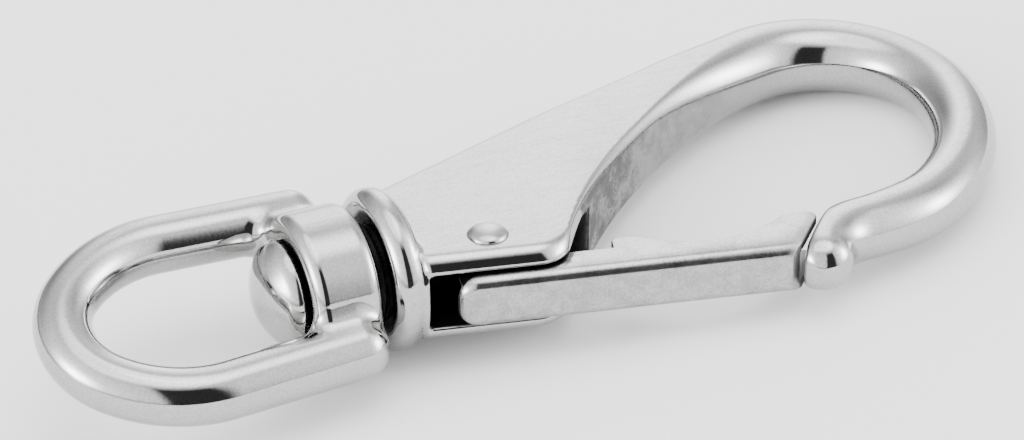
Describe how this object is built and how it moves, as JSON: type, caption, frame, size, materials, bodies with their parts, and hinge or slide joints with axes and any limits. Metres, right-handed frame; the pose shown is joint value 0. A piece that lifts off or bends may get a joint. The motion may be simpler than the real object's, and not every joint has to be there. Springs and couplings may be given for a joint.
{
  "type": "swivel snap hook",
  "caption": "Cast hook with a round bow, closed by a sprung gate folded from sheet, on a shank that carries a turning eye.",
  "frame": {"origin": "inside of the swivel eye's far end, on the shank's axis, where a strap or ring bears", "axes": "+X along the shank from the eye to the bow, +Y across the hook from the gate to the spine, +Z through the hook's thickness, up as it lies on its side"},
  "size_m": [0.0997, 0.0423, 0.0154],
  "materials": {
    "cast_steel": "mirror-polished cast stainless steel with a faint grain",
    "sheet_steel": "polished folded stainless sheet, softer than the casting",
    "rivet_steel": "polished rivet heads with faint hammer marks",
    "spring_wire": "drawn spring wire"
  },
  "bodies": {
    "hook": {"hook_body": "cast_steel", "gate_pin": "rivet_steel", "gate_spring": "spring_wire"},
    "eye": {"swivel_eye": "cast_steel"},
    "gate": {"gate": "sheet_steel"}
  },
  "joints": [
    {"name": "eye_swivel", "type": "hinge", "parent": "hook", "child": "eye", "pos_m": [0.0224, 0, 0], "axis": [1, 0, 0], "continuous": true},
    {"name": "gate_pivot", "type": "hinge", "parent": "hook", "child": "gate", "pos_m": [0.0362, -0.0052, 0], "axis": [0, 0, 1], "range_deg": [0, 25], "stiffness_Nm_per_rad": 0.02, "springref_deg": -22.92, "deforming": ["gate_spring"]}
  ]
}
